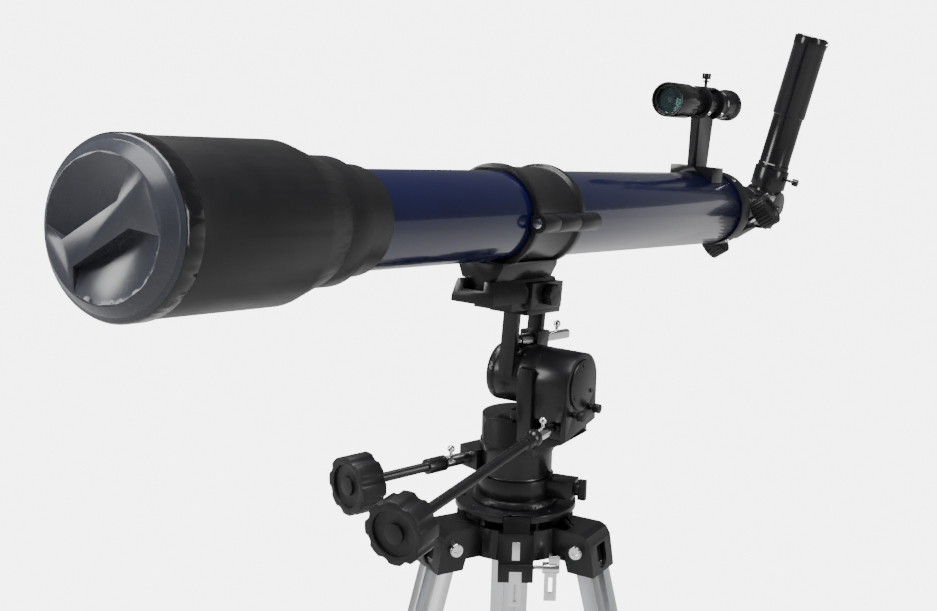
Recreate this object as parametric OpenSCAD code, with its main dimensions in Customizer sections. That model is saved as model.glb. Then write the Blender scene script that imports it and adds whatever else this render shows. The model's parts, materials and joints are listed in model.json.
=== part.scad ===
// Refracting telescope on an alt-azimuth mount with slow-motion controls and a folding tripod.
// Millimetres, +Z up. The origin is on the floor, under the azimuth axis.
// The telescope points along -Y; the altitude axis runs along X.

/* [Telescope tube] */
// Outer diameter of the main tube
tube_d = 76; // [70:1:90]
// Wall of the main tube
tube_wall = 1.4; // [1:0.1:2]
// Length of the bare main tube behind the objective cell
tube_len = 680; // [560:5:780]
// Outer diameter of the dew shield
shield_d = 114.6; // [106:0.2:124]
// Length of the straight part of the dew shield
shield_len = 142; // [110:1:170]
// Length of the taper behind the dew shield
taper_len = 39; // [30:1:50]
// Length of the front ring of the objective cell
cell_front_len = 26; // [20:1:34]
// Length of the rear ring of the objective cell
cell_rear_len = 33; // [26:1:40]
// Clear aperture of the objective
aperture_d = 66; // [56:1:68]
// Depth of the dust cap's rim over the dew shield
cap_rim_len = 10; // [8:1:14]
// Optical axis to altitude axis
axis_h = 141.8; // [132:0.2:152]
// Altitude of the tube at rest, in degrees
rest_altitude = 7.6; // [2:0.2:14]

/* [Focuser and eyepiece] */
// Outer diameter of the focuser drawtube
draw_d = 40; // [37:0.5:44]
// Bore for 1.25 inch fittings
barrel_d = 31.75; // [31.75:0.05:32.5]
// Diameter of a focus knob
focus_knob_d = 34; // [28:1:40]
// Turn of the diagonal about the optical axis, in degrees
diagonal_turn = 11; // [0:1:30]
// Length of the erecting eyepiece above its shoulder
erector_len = 155; // [130:1:175]
// Outer diameter of the erecting eyepiece
erector_d = 37.2; // [36.6:0.1:40]

/* [Finder] */
// Diameter of the finder's objective bell
bell_d = 35; // [32:0.5:38]
// Overall length of the finder
finder_len = 158; // [140:1:170]
// Finder axis above the optical axis
finder_h = 111; // [105:1:120]
// Finder bracket behind the altitude axis
finder_y = 350; // [320:1:370]

/* [Cradle and saddle] */
// Length of the tube cradle
cradle_len = 85; // [70:1:95]
// Cradle centre ahead of the altitude axis
cradle_forward = 32; // [20:1:40]
// Width of the saddle
saddle_w = 41; // [39:0.5:46]
// Length of the saddle
saddle_len = 115; // [100:1:125]

/* [Mount head] */
// Diameter of the fork's hub
fork_hub_d = 51.4; // [48:0.2:54]
// Width of a fork arm
arm_w = 14; // [12:0.5:18]
// Thickness of a fork arm
arm_t = 6.6; // [5.6:0.2:7.4]
// Width of the altitude case across its arch
case_w = 56; // [54:0.5:60]
// Length of the altitude case along the altitude axis
case_len = 49.5; // [46:0.5:54]
// Diameter of the pier
pier_d = 64; // [60:0.5:68]
// Length of the long control rod
long_rod_len = 190; // [150:1:230]
// Length of the short control rod
short_rod_len = 62; // [45:1:90]
// Diameter of a control knob
knob_d = 52; // [46:1:58]

/* [Tripod] */
// Leg length from its hinge to the foot, closed
leg_len = 690; // [600:5:760]
// Lean of each leg from the vertical, in degrees
leg_splay = 15; // [12:0.5:20]
// Turn of the tripod under the telescope, in degrees
tripod_turn = 31; // [0:1:60]
// Hinge pins' distance from the azimuth axis
hinge_r = 74; // [70:1:80]
// Diameter of the head's round plate
plate_d = 109; // [104:1:114]
// Width of a leg across both rails
leg_w = 35.6; // [33:0.2:38]
// Width of one rail
rail_w = 12; // [11:0.2:12.6]
// Depth of one rail
rail_t = 14; // [12:0.5:15]

/* [Hidden] */

$fn = 96;
eps = 0.01;              // overlap of joined shapes
run = 0.05;              // radial running clearance of shafts and slides
gap = 0.4;               // air between pieces of different bodies

// Heights above the floor
hinge_z = leg_len * cos(leg_splay);
hub_h = 27.6;                        // height of the hub casting's drum
hub_bottom = hinge_z - 11.4;
hub_top = hub_bottom + hub_h;
plate_t = 6;
plate_gap = 8.2;                     // recess between hub and round plate
plate_z = hub_top + plate_gap;       // underside of the round plate
bevel_h = 7;
ring_h = 17;
ring_z = plate_z + plate_t + bevel_h;
pier_z = ring_z + ring_h + 2.2;      // underside of the turning pier
pier_h = 21;                         // bare cylinder of the pier
pivot_above_pier = 89.7;
pivot_z = pier_z + pivot_above_pier;

// Stations along the optical axis, measured rearward from the altitude axis
cradle_y = -cradle_forward;
tube_rear = cradle_y + 424.5;
tube_front = tube_rear - tube_len;
cell_step = tube_front - cell_rear_len;
taper_end = cell_step - cell_front_len;
shield_rear = taper_end - taper_len;
shield_front = shield_rear - shield_len;
cap_dome = 12.4;
cap_r = shield_d / 2 + 1.3;
cell_r1 = tube_d / 2 + 9.2;          // front ring of the cell and end of the taper
cell_r2 = tube_d / 2 + 3.4;          // rear ring of the cell
socket = 18;                         // depth of the tube inside the cell
lens_r = aperture_d / 2 + 2;

// Focuser
flange_len = 22.5;
body_y = tube_rear + flange_len;
focuser_r = draw_d / 2 + 5;
pinion_y = body_y + 39;
focuser_end = pinion_y + 22;
draw_end = focuser_end + 28;
nose_len = 24;
collar_r = draw_d / 2 + 3;
diag_y = draw_end + nose_len + 1;    // front face of the diagonal's body
diag_r = 22;
diag_c = diag_y + diag_r;            // crossing of the diagonal's two axes
pinion_turn = -35;
pinion_r = draw_d / 2 + 4.6;         // pinion axis from the optical axis
axle_r = 3;
shoulder = 45.6;                     // foot of the erecting eyepiece above the optical axis

// Finder
shoe_len = 28;
shoe_w = 48;
shoe_h = 7;
post_t = 10;
ring_t = 5;
ring_span = 34;
finder_r = 12.6;
bell_len = 42;
eyecup_len = 30;
finder_front = finder_y - 93;

// Cradle and saddle
flange_r = 44.2;
band_r = tube_d / 2 + 3.2;
liner_t = 1.6;
cradle_flange = 9;
pin_r = 2.5;
hinge_x = band_r + 5;
hinge_boss_r = 8;
saddle_top = 88;
saddle_bottom = 61;
saddle_front = -95;
foot_top = 102;
foot_w_top = 43;
foot_w_bottom = 33;
foot_fit = 0.1;

// Mount head
hub_x0 = -11.4;                      // fork hub between its cap and the case
hub_x1 = 12.4;
fork_cap_t = 9.5;
shaft_r = 8;
arm_out = fork_hub_d / 2 + 0.6;
upper_worm_h = 29;
upper_worm_r = 6.2;
upper_wheel_r = upper_worm_h - upper_worm_r - gap;
wheel_w = 11;
case_x0 = 13.3;
case_split = 29.4;
case_x1 = case_x0 + case_len;
case_r = case_w / 2;
case_wall = 2.6;
lower_worm_h = 34.6;
lower_worm_x = case_x1 - case_wall - 10.4;
lower_worm_r = 9.4;
lower_wheel_r = lower_worm_h - lower_worm_r - gap;
stem_r = 4.4;
sleeve_r = 5.4;
sleeve_len = 34;
ball_r = 8;
rod_r = 4.6;
long_rod_drop = 4.5;                 // the long rod falls this many degrees forward
case_front_drop = 45.7;
case_rear_drop = 37.7;
knob_t = 24;
azimuth_worm_turn = -19.8;
azimuth_worm_x = 27;
azimuth_worm_z = pier_z + 10.5;
azimuth_worm_r = 7.2;
azimuth_wheel_r = azimuth_worm_x - azimuth_worm_r - gap;
post_r = 10;
post_top = pier_z + 34;
pier_wall = 3.4;

// Tripod
hub_r = 52.7;
lug_w = leg_w + 5.2;
lug_end = hinge_r + 16.6;
bolt_r = 4;
centre_bolt_r = 6;
rails_top = -17;
rails_len = leg_len - 110;
slide_w = leg_w - 2 * rail_w - 0.8;
slide_t = 9;
brace_drop = 250;                    // brace pivot below the leg hinge, along the leg
brace_angle = 40;                    // fall of a brace towards the middle
tray_pin_r = 24;                     // brace ends' distance from the azimuth axis
brace_in = rail_t / 2 + 5.2;         // brace pivot inside the leg's centre line
brace_pivot_r = hinge_r + brace_drop * sin(leg_splay) - brace_in * cos(leg_splay);
brace_pivot_z = hinge_z - brace_drop * cos(leg_splay) - brace_in * sin(leg_splay);
brace_len = (brace_pivot_r - tray_pin_r) / cos(brace_angle);
tray_z = brace_pivot_z - brace_len * sin(brace_angle);
brace_w = 8;
brace_end_r = 4.6;
tray_r = 56;
LEFT = tripod_turn - 60;
RIGHT = tripod_turn + 60;
BACK = tripod_turn + 180;

// ---------- shared shapes ----------

module tube(r_out, r_in, h) {
    difference() {
        cylinder(r = r_out, h = h);
        translate([0, 0, -1]) cylinder(r = r_in, h = h + 2);
    }
}

// Places children on the altitude axis, level
module at_pivot() {
    translate([0, 0, pivot_z]) children();
}

// Places children on the altitude axis, leaning with the telescope
module leaning() {
    at_pivot() rotate([-rest_altitude, 0, 0]) children();
}

// Puts the children's +Z on the optical axis, rearward, starting at station y
module on_axis(y, turn = 0) {
    leaning() translate([0, y, axis_h]) rotate([-90, 0, 0]) rotate([0, 0, turn]) children();
}

// Lays the children's +Z along +X
module along_x() {
    rotate([0, 90, 0]) children();
}

// Lays the children's +Z along -Y
module along_front() {
    rotate([90, 0, 0]) children();
}

// A disc with scalloped grip, its face up
module grip_knob(d, t, lobes, bore) {
    difference() {
        union() {
            cylinder(d = d, h = t);
            translate([0, 0, -4]) cylinder(d = d * 0.42, h = 4 + eps);
        }
        for (i = [0 : lobes - 1])
            rotate([0, 0, (i + 0.5) * 360 / lobes])
                translate([d * 0.585, 0, -1]) cylinder(r = d * 0.13, h = t + 2);
        translate([0, 0, t - 3]) tube(d * 0.36, d * 0.16, 4);
        translate([0, 0, -5]) cylinder(r = bore, h = t - 2);
    }
}

// A threaded-looking worm: a core with raised rings
module worm_body(core, r, len, pitch) {
    translate([0, 0, -len / 2]) cylinder(r = core, h = len);
    for (z = [-len / 2 : pitch : len / 2 - pitch / 2])
        translate([0, 0, z]) cylinder(r = r, h = pitch * 0.55);
}

// A toothed wheel between two radii
module toothed_wheel(r, t, teeth, depth) {
    linear_extrude(t) polygon([for (i = [0 : 4 * teeth - 1])
        let (a = i * 90 / teeth, q = (i % 4 < 2) ? r : r - depth) [q * cos(a), q * sin(a)]]);
}

// ---------- tripod head ----------

module on_head(angle) {
    rotate([0, 0, angle - 90]) children();
}

module lug_profile(inset) {
    polygon([
        [hub_r - 12, hub_h - 11.4 - inset], [hinge_r + 2, hub_h - 11.4 - inset],
        [hinge_r + 8, 13.5 - inset], [hinge_r + 12 - inset / 2, 7 - inset],
        [lug_end - 2 - inset, -8], [lug_end - inset, -21.5],
        [hinge_r - 9, -21.5], [hinge_r - 12, -11.4], [hub_r - 12, -11.4]]);
}

module lug_shell() {
    translate([0, lug_w / 2, hinge_z]) rotate([90, 0, 0]) linear_extrude(lug_w) lug_profile(0);
}

module lug_cavity() {
    slot = leg_w + 2 * gap;
    inner = hinge_r - 13.4;
    translate([0, slot / 2, hinge_z]) rotate([90, 0, 0]) linear_extrude(slot) polygon([
        [inner, 12.5], [hinge_r + 2, 12.5], [hinge_r + 9, 8], [lug_end - 5.6, -5],
        [lug_end - 2.4, -25], [inner, -25]]);
    translate([hinge_r, lug_w / 2 + 1, hinge_z]) rotate([90, 0, 0])
        cylinder(r = bolt_r + run, h = lug_w + 2);
    translate([lug_end - 9, -8, hinge_z - 10]) cube([12, 16, 14]);
    translate([lug_end - 9, 0, hinge_z - 10]) along_x() cylinder(r = 8, h = 12);
}

module tripod_hub() {
    color("#1c1d20") difference() {
        union() {
            translate([0, 0, hub_bottom]) cylinder(r = hub_r, h = hub_h);
            translate([0, 0, hub_top - eps]) cylinder(r = hub_r - 6, h = plate_gap + eps);
            for (a = [LEFT, RIGHT, BACK]) on_head(a) lug_shell();
        }
        for (a = [LEFT, RIGHT, BACK]) on_head(a) lug_cavity();
        translate([0, 0, hub_bottom - 1]) cylinder(r = hub_r - 14, h = hub_h - 5);
        translate([0, 0, hub_bottom]) cylinder(r = centre_bolt_r + 0.1, h = hub_h + plate_gap + 1);
    }
}

module hub_plate() {
    color("#202226") difference() {
        translate([0, 0, plate_z]) cylinder(d = plate_d, h = plate_t);
        translate([0, 0, plate_z - 1]) cylinder(r = centre_bolt_r + 0.1, h = plate_t + 2);
        rotate([0, 0, tripod_turn]) translate([-12, -plate_d / 2 - 1, plate_z - 1]) cube([24, 7, plate_t + 2]);
    }
}

module base_ring() {
    color("#303238") {
        translate([0, 0, plate_z + plate_t]) rotate_extrude() polygon([
            [6.1, 0], [38.8, 0], [38.8, 2.4], [36.4, bevel_h - 0.7], [6.1, bevel_h - 0.7]]);
        translate([0, 0, plate_z + plate_t + bevel_h - 0.7]) tube(33.2, 6.1, 0.7);
        translate([0, 0, ring_z]) tube(33.7, 6.1, ring_h);
    }
}

// Fixed worm wheel that the pier turns round, on the head's centre bolt
module azimuth_wheel() {
    color("silver") {
        translate([0, 0, ring_z + ring_h]) tube(29, 6.1, 1.8);
        difference() {
            translate([0, 0, ring_z + ring_h + 1.8 - eps])
                cylinder(r = post_r, h = post_top - ring_z - ring_h - 1.8);
            translate([0, 0, ring_z]) cylinder(r = centre_bolt_r + 0.1, h = post_top - ring_z + 1);
        }
        difference() {
            translate([0, 0, azimuth_worm_z - wheel_w / 2])
                toothed_wheel(azimuth_wheel_r, wheel_w, 40, 1.2);
            translate([0, 0, azimuth_worm_z - wheel_w]) cylinder(r = post_r - 1, h = 2 * wheel_w);
        }
    }
}

module front_bracket() {
    color("#141517") rotate([0, 0, tripod_turn]) {
        difference() {
            union() {
                translate([-15.5, -hub_r - 7, hub_bottom]) cube([31, 11, hub_h]);
                translate([-11.6, -hub_r - 5, hub_top - 1]) cube([23.2, 5, plate_z + plate_t - hub_top + 1]);
                translate([-15.5, -hub_r - 9, hub_bottom - 6]) cube([31, 9, 6 + eps]);
                for (x = [-15.5, 5.5]) translate([x, -hub_r - 9, hub_bottom - 16]) cube([10, 9, 10 + eps]);
            }
            translate([-3.5, -hub_r - 8, hub_bottom + 4]) cube([7, 2, 17]);
            cylinder(r = hub_r, h = 1000);
        }
    }
}

// Bright straps on the front bracket: the index plate, the slotted strap and the side clamp
module clamp_strips() {
    color("silver") rotate([0, 0, tripod_turn]) {
        translate([-3.4, -hub_r - 7.2, hub_bottom + 4.1]) cube([6.8, 1.2, 16.8]);
        translate([-5, -hub_r - 6, hub_bottom - 40]) difference() {
            cube([10, 2, 33.5]);
            translate([3.4, -1, 5]) cube([3.2, 4, 16]);
        }
        translate([15.55, -hub_r - 4.5, hub_bottom - 3]) along_x() cylinder(r = 1.8, h = 8);
        translate([23.55, -hub_r - 4.5, hub_bottom - 3]) along_x() cylinder(r = 5, h = 15);
        translate([29, -hub_r - 9, hub_bottom + 2.5]) cube([9.5, 9, 7]);
        translate([25.5, -hub_r - 5.5, hub_bottom - 34]) difference() {
            cube([11, 2, 26.5]);
            translate([3.7, -1, 8]) cube([3.6, 4, 14]);
        }
    }
}

module hub_bolts() {
    color("silver") {
        for (a = [LEFT, RIGHT, BACK]) on_head(a) translate([hinge_r, 0, hinge_z]) rotate([90, 0, 0]) {
            cylinder(r = bolt_r, h = lug_w + 0.2, center = true);
            for (s = [-1, 1]) translate([0, 0, s * (lug_w / 2 + 2.1)])
                cylinder(r = bolt_r + 2, h = 4, center = true);
        }
        translate([0, 0, hub_top - 12]) cylinder(r = centre_bolt_r, h = post_top - hub_top + 12);
        translate([0, 0, hub_top - 12]) cylinder(r = 10, h = 5.9, $fn = 6);
    }
}

// Clamp block of the azimuth brake, beside the base ring
module brake_block() {
    color("#18191c") rotate([0, 0, 100 - 90]) difference() {
        translate([30, -11, ring_z + 0.5]) cube([26, 22, 16]);
        translate([0, 0, ring_z - 1]) cylinder(r = 33.75, h = 20);
        translate([44, 0, ring_z + 8.5]) along_x() cylinder(r = 3 + run, h = 20);
    }
}

module brake_knob() {
    color("#0e0f10") rotate([0, 0, 100 - 90]) translate([0, 0, ring_z + 8.5]) {
        translate([44.4, 0, 0]) along_x() cylinder(r = 3, h = 15);
        translate([56.6, 0, 0]) along_x() cylinder(r = 6, h = 4);
        translate([59, -3, -9]) cube([7, 6, 18]);
    }
}

// ---------- legs ----------

// Leg frame: -Z runs down the leg, +X points away from the head
module on_leg(a) {
    on_head(a) translate([hinge_r, 0, hinge_z]) rotate([0, -leg_splay, 0]) children();
}

module leg_head(a) {
    color("#1a1b1d") on_leg(a) difference() {
        union() {
            rotate([90, 0, 0]) cylinder(r = 8.6, h = leg_w, center = true);
            translate([-7, -leg_w / 2, rails_top]) cube([14, leg_w, -rails_top]);
            for (s = [-1, 1]) translate([0, s * (leg_w - rail_w) / 2, rails_top - 7])
                cube([rail_t - 3.2, rail_w - 3.2, 14.2], center = true);
        }
        rotate([90, 0, 0]) cylinder(r = bolt_r + run, h = leg_w + 2, center = true);
    }
}

module leg_rails(a) {
    bracket_h = 34;
    bracket_z = rails_top - rails_len;
    color("#c9ccd2") on_leg(a) {
        for (s = [-1, 1]) translate([0, s * (leg_w - rail_w) / 2, rails_top]) difference() {
            translate([-rail_t / 2, -rail_w / 2, -rails_len]) cube([rail_t, rail_w, rails_len]);
            translate([-rail_t / 2 + 1.5, -rail_w / 2 + 1.5, -rails_len - 1])
                cube([rail_t - 3, rail_w - 3, rails_len + 2]);
        }
        for (s = [-1, 1]) translate([-rail_t / 2 - 11, s * (brace_w / 2 + 2.4) - 1.6, -brace_drop - 8])
            cube([11, 3.2, 16]);
        translate([-brace_in, 0, -brace_drop]) rotate([90, 0, 0])
            cylinder(r = 2, h = brace_w + 10, center = true);
    }
    color("#1a1b1d") on_leg(a) difference() {
        translate([-rail_t / 2 - 3, -leg_w / 2 - 3, bracket_z - 6]) cube([rail_t + 6, leg_w + 6, bracket_h]);
        for (s = [-1, 1]) translate([-rail_t / 2, s * (leg_w - rail_w) / 2 - rail_w / 2, bracket_z])
            cube([rail_t, rail_w, bracket_h + 1]);
        translate([-slide_t / 2 - gap, -slide_w / 2 - gap, bracket_z - 7])
            cube([slide_t + 2 * gap, slide_w + 2 * gap, bracket_h + 10]);
        translate([0, 0, bracket_z + 8]) along_x() cylinder(r = 3 + run, h = 40);
    }
}

module leg_slide(a) {
    bar_top = -70;
    color("#b9bcc3") difference() {
        on_leg(a) translate([-slide_t / 2, -slide_w / 2, -leg_len - 2])
            cube([slide_t, slide_w, leg_len + 2 + bar_top]);
        translate([0, 0, 7 - 500]) cylinder(r = 600, h = 500);
    }
    color("#111213") on_head(a) translate([hinge_r + leg_len * sin(leg_splay), 0, 0]) difference() {
        rotate_extrude() polygon([[0, 0], [12, 0], [13, 2], [12.4, 5], [8.5, 18], [0, 18]]);
        translate([-hinge_r - leg_len * sin(leg_splay), 0, 0]) translate([hinge_r, 0, hinge_z])
            rotate([0, -leg_splay, 0]) translate([-slide_t / 2, -slide_w / 2, -leg_len - 2])
                cube([slide_t, slide_w, leg_len]);
    }
}

module leg_lock(a) {
    lock_z = rails_top - rails_len + 8;
    color("#141517") on_leg(a) translate([0, 0, lock_z]) {
        translate([slide_t / 2 + gap, 0, 0]) along_x() cylinder(r = 3, h = rail_t / 2 + 3);
        translate([rail_t / 2 + 3.4, 0, 0]) along_x() grip_solid(24, 12);
    }
}

module grip_solid(d, t) {
    difference() {
        cylinder(d = d, h = t);
        for (i = [0 : 5]) rotate([0, 0, i * 60]) translate([d * 0.6, 0, -1]) cylinder(r = d * 0.17, h = t + 2);
    }
}

// ---------- braces and tray ----------

module on_brace(a) {
    on_head(a) translate([brace_pivot_r, 0, brace_pivot_z]) rotate([0, -brace_angle, 0]) children();
}

module brace(a) {
    color("#1a1b1d") on_brace(a) difference() {
        union() {
            for (x = [0, -brace_len]) translate([x, 0, 0]) rotate([90, 0, 0])
                cylinder(r = brace_end_r, h = brace_w, center = true);
            translate([-brace_len, -brace_w / 2, -2.4]) cube([brace_len, brace_w, 4.8]);
        }
        for (x = [0, -brace_len]) translate([x, 0, 0]) rotate([90, 0, 0])
            cylinder(r = 2 + run, h = brace_w + 2, center = true);
    }
}

module tray() {
    plate_top = tray_z - brace_end_r - gap;
    color("#1c1d20") {
        difference() {
            union() {
                translate([0, 0, plate_top - 3]) cylinder(r = tray_r, h = 3);
                translate([0, 0, plate_top - 7]) tube(tray_r, tray_r - 3, 7);
                translate([0, 0, plate_top - eps]) cylinder(r = 9, h = 6);
            }
            for (a = [0, 120, 240]) on_head(a + tripod_turn) translate([36, 0, plate_top - 8])
                cylinder(d = barrel_d + 0.4, h = 12);
        }
        on_head(BACK) for (s = [-1, 1]) translate([tray_pin_r - 4.5, s * (brace_w / 2 + 2.2) - 1.6, plate_top - eps])
            cube([9, 3.2, brace_end_r + gap + 5]);
        on_head(BACK) translate([tray_pin_r, 0, tray_z]) rotate([90, 0, 0])
            cylinder(r = 2, h = brace_w + 9, center = true);
    }
}

// ---------- pier and altitude case ----------

module arch(r, drop) {
    // Outline in the plane across the altitude axis: X of the outline runs to the rear
    circle(r = r);
    translate([-r, -drop]) square([2 * r, drop]);
}

// Extrudes a rear/up outline along +X from x0 to x1
module across(x0, x1) {
    translate([x0, 0, 0]) rotate([90, 0, 90]) linear_extrude(x1 - x0) children();
}

// Frame of the azimuth worm: its shaft runs along Y
module on_azimuth_worm() {
    translate([0, 0, azimuth_worm_z]) rotate([0, 0, azimuth_worm_turn])
        translate([-azimuth_worm_x, 0, 0]) children();
}

module pier() {
    body_top = pivot_above_pier - 27.2;     // top of the lower body, over pier_z
    color("#1b1c1f") difference() {
        union() {
            translate([0, 0, pier_z]) cylinder(d = pier_d, h = body_top - 10);
            translate([0, 0, pier_z + pier_h]) cylinder(r = pier_d / 2 + 1.2, h = 8);
            at_pivot() across(5.3, case_split) translate([-24, -pivot_above_pier + pier_h])
                square([48, pivot_above_pier - pier_h - 27.2]);
            at_pivot() across(case_x0, case_split) arch(case_r, 34);
            at_pivot() translate([case_x0 + 3, -case_r - 2.6, -52]) cube([case_split - case_x0 - 3, 12, 66]);
            at_pivot() translate([0, 22, 0]) rotate([90, 0, 0]) linear_extrude(44) polygon([
                [5.3, -30], [case_split, -30], [case_split, -47.5], [case_x1 - 3, -47.5],
                [case_x1 - 7, -51], [pier_d / 2, -60], [5.3, -64]]);
            at_pivot() translate([-18.6, -28, -62]) rounded_boss();
            on_azimuth_worm() {
                translate([-11, -35, -9.5]) cube([24, 49, 19]);
            }
        }
        translate([0, 0, pier_z - 1]) cylinder(d = pier_d - 2 * pier_wall, h = 22);
        translate([0, 0, pier_z]) cylinder(r = post_r + run, h = post_top - pier_z + 0.5);
        at_pivot() across(case_x0 + 3, case_split + 1) arch(case_r - case_wall, 16);
        at_pivot() translate([0, 0, 0]) along_x() cylinder(r = shaft_r + run, h = 40);
        at_pivot() along_x() cylinder(r = fork_hub_d / 2 + gap, h = hub_x1 + gap);
        on_azimuth_worm() {
            translate([0, 11, 0]) along_front() cylinder(r = azimuth_worm_r + gap, h = 22);
            translate([0, 20, 0]) along_front() cylinder(r = stem_r + run, h = 60);
        }
    }
}

// Domed boss over the azimuth gear, on the front of the lower body
module rounded_boss() {
    r = 12;
    difference() {
        union() {
            translate([r, 0, 0]) cube([29 - r, 24, 27]);
            cube([29, 24, 27 - r]);
            translate([r, 24, 27 - r]) rotate([90, 0, 0]) cylinder(r = r, h = 24);
        }
    }
}

module altitude_case() {
    worm_half = 14;
    end_t = 4.9;
    color("#1e1f23") difference() {
        union() {
            at_pivot() across(case_split, case_x1) arch(case_r, 28.7);
            at_pivot() across(case_x1 - end_t, case_x1) polygon([
                [-case_r, 0], [-case_r, -case_front_drop], [case_r, -case_rear_drop], [case_r, 0]]);
            at_pivot() translate([lower_worm_x - 12, -22, -47])
                cube([case_x1 - lower_worm_x + 12 - end_t + eps, 44, 27]);
        }
        at_pivot() across(case_split - 1, case_x1 - case_wall) arch(case_r - case_wall, 16);
        at_pivot() along_x() cylinder(r = 20, h = 200);
        at_pivot() translate([lower_worm_x, worm_half, -lower_worm_h]) along_front()
            cylinder(r = lower_worm_r + gap, h = 2 * worm_half);
        at_pivot() translate([lower_worm_x, 40, -lower_worm_h]) along_front()
            cylinder(r = stem_r + run, h = 100);
        for (y = [-15, 15]) at_pivot() translate([case_x1 - 12, y, -24]) along_x() cylinder(r = 2.05, h = 30);
    }
}

module case_cover() {
    color("#232428") at_pivot() difference() {
        union() {
            translate([case_x1, 0, 0]) along_x() cylinder(r = 22.4, h = 1.6);
            translate([case_x1 - case_wall, 0, 0]) along_x() cylinder(r = 20 - 0.02, h = case_wall + eps);
        }
        translate([case_x1 - case_wall - 1, 0, 0]) along_x() cylinder(r = shaft_r + run, h = 2.6);
    }
}

module cover_screws() {
    color("#0e0f10") for (y = [-15, 15]) at_pivot() translate([case_x1, y, -24]) along_x() {
        translate([0, 0, -5]) cylinder(r = 2, h = 11);
        translate([0, 0, 1]) cylinder(r = 3, h = 2);
        translate([0, 0, 5]) cylinder(r = 4.2, h = 6);
    }
}

// ---------- worms, rods and knobs ----------

// Stem, thread and end sleeve of a slow-motion worm, its +Z pointing out of the housing
module control_worm(r, half, back, front) {
    worm_body(r - 2, r, 2 * half, 2.6);
    translate([0, 0, -back]) cylinder(r = stem_r, h = back + front);
    translate([0, 0, front - eps]) cylinder(r = sleeve_r, h = sleeve_len);
}

module altitude_worm() {
    color("silver") at_pivot() translate([lower_worm_x, 0, -lower_worm_h]) {
        along_front() control_worm(lower_worm_r, 13, 20, 23);
        translate([0, -45, sleeve_r - 1]) ball_screw();
    }
}

// Small round-headed clamp screw standing on a sleeve
module ball_screw() {
    cylinder(r = 1.5, h = 5);
    translate([0, 0, 7]) sphere(r = 3.4, $fn = 48);
}

module on_long_rod() {
    at_pivot() translate([lower_worm_x, -23 - sleeve_len - 5, -lower_worm_h])
        rotate([90 + long_rod_drop, 0, 0]) children();
}

module long_rod() {
    color("#141517") on_long_rod() {
        difference() {
            union() {
                sphere(r = ball_r);
                cylinder(r = rod_r, h = long_rod_len);
                cylinder(r = rod_r + 1.6, h = 14);
            }
            translate([0, 0, -ball_r - 1]) cylinder(r = sleeve_r + 0.9, h = ball_r - 1.5);
        }
    }
}

module long_knob() {
    color("#17181b") on_long_rod() translate([0, 0, long_rod_len + eps]) grip_knob(knob_d, knob_t, 8, rod_r);
}

module azimuth_worm() {
    color("silver") on_azimuth_worm() {
        along_front() control_worm(azimuth_worm_r, 10, 13, 35.6);
        translate([0, -54, sleeve_r - 1]) ball_screw();
    }
}

module short_rod() {
    start = 35.6 + sleeve_len - 8;
    color("#141517") on_azimuth_worm() along_front() difference() {
        union() {
            translate([0, 0, start]) cylinder(r = 7, h = 20);
            translate([0, 0, start]) cylinder(r = rod_r - 0.3, h = short_rod_len + 20);
        }
        translate([0, 0, start - 1]) cylinder(r = sleeve_r + 0.01, h = 9.02);
    }
}

module short_knob() {
    start = 35.6 + sleeve_len - 8 + short_rod_len + 20;
    color("#17181b") on_azimuth_worm() along_front() translate([0, 0, start + eps])
        grip_knob(knob_d, knob_t, 8, rod_r);
}

module altitude_shaft() {
    color("#8d9096") leaning() {
        translate([hub_x0 - 2, 0, 0]) along_x() cylinder(r = shaft_r, h = case_x1 - hub_x0 - 0.6);
        translate([-6, 0, 0]) along_x() toothed_wheel(upper_wheel_r, wheel_w, 48, 1.2);
    }
    color("#b08d3c") leaning() translate([lower_worm_x - wheel_w / 2, 0, 0]) along_x()
        toothed_wheel(lower_wheel_r, wheel_w, 48, 1.2);
}

// ---------- fork and saddle ----------

module fork() {
    top_t = 5;
    bearing_y = arm_out + 6.5;
    color("#1d1e21") leaning() difference() {
        union() {
            translate([hub_x0, 0, 0]) along_x() cylinder(d = fork_hub_d, h = hub_x1 - hub_x0);
            for (y = [-arm_out, arm_out - arm_t])
                translate([-arm_w / 2, y, 0]) cube([arm_w, arm_t, saddle_bottom]);
            translate([-saddle_w / 2 + 2, -arm_out - 4, saddle_bottom - top_t])
                cube([saddle_w - 4, 2 * arm_out + 8, top_t]);
            translate([-9, arm_out - arm_t - 8, upper_worm_h - 8.5])
                cube([18, bearing_y - arm_out + arm_t + 8, 17]);
        }
        along_x() cylinder(r = shaft_r + run, h = 100, center = true);
        translate([hub_x0 - 1, 0, 0]) along_x() cylinder(r = upper_wheel_r + gap, h = 7.4 - hub_x0);
        translate([0, arm_out - arm_t - 7.5, upper_worm_h]) along_front()
            cylinder(r = upper_worm_r + gap, h = 2 * arm_out - 2 * arm_t - 7.5);
        translate([0, 60, upper_worm_h]) along_front() cylinder(r = stem_r + run, h = 60 + arm_out - 2);
    }
}

module fork_cap() {
    color("#1a1b1e") leaning() translate([hub_x0, 0, 0]) rotate([0, -90, 0]) {
        rotate_extrude() polygon([
            [0, 2.6], [8.6, 2.6], [8.6, 0], [fork_hub_d / 2, 0], [fork_hub_d / 2, fork_cap_t - 4],
            [fork_hub_d / 2 - 1.2, fork_cap_t - 1.2], [fork_hub_d / 2 - 4, fork_cap_t], [0, fork_cap_t]]);
    }
}

module fork_worm() {
    rear = 85;
    color("silver") leaning() translate([0, 0, upper_worm_h]) {
        translate([0, 0.2, 0]) along_front() worm_body(upper_worm_r - 1.8, upper_worm_r, 22, 2.4);
        difference() {
            translate([0, rear, 0]) along_front() cylinder(r = stem_r, h = rear + arm_out - 3);
            translate([stem_r - 1, 44, -5]) cube([5, 60, 10]);
        }
        translate([-1, 66, stem_r - 1]) ball_screw();
    }
}

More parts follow.
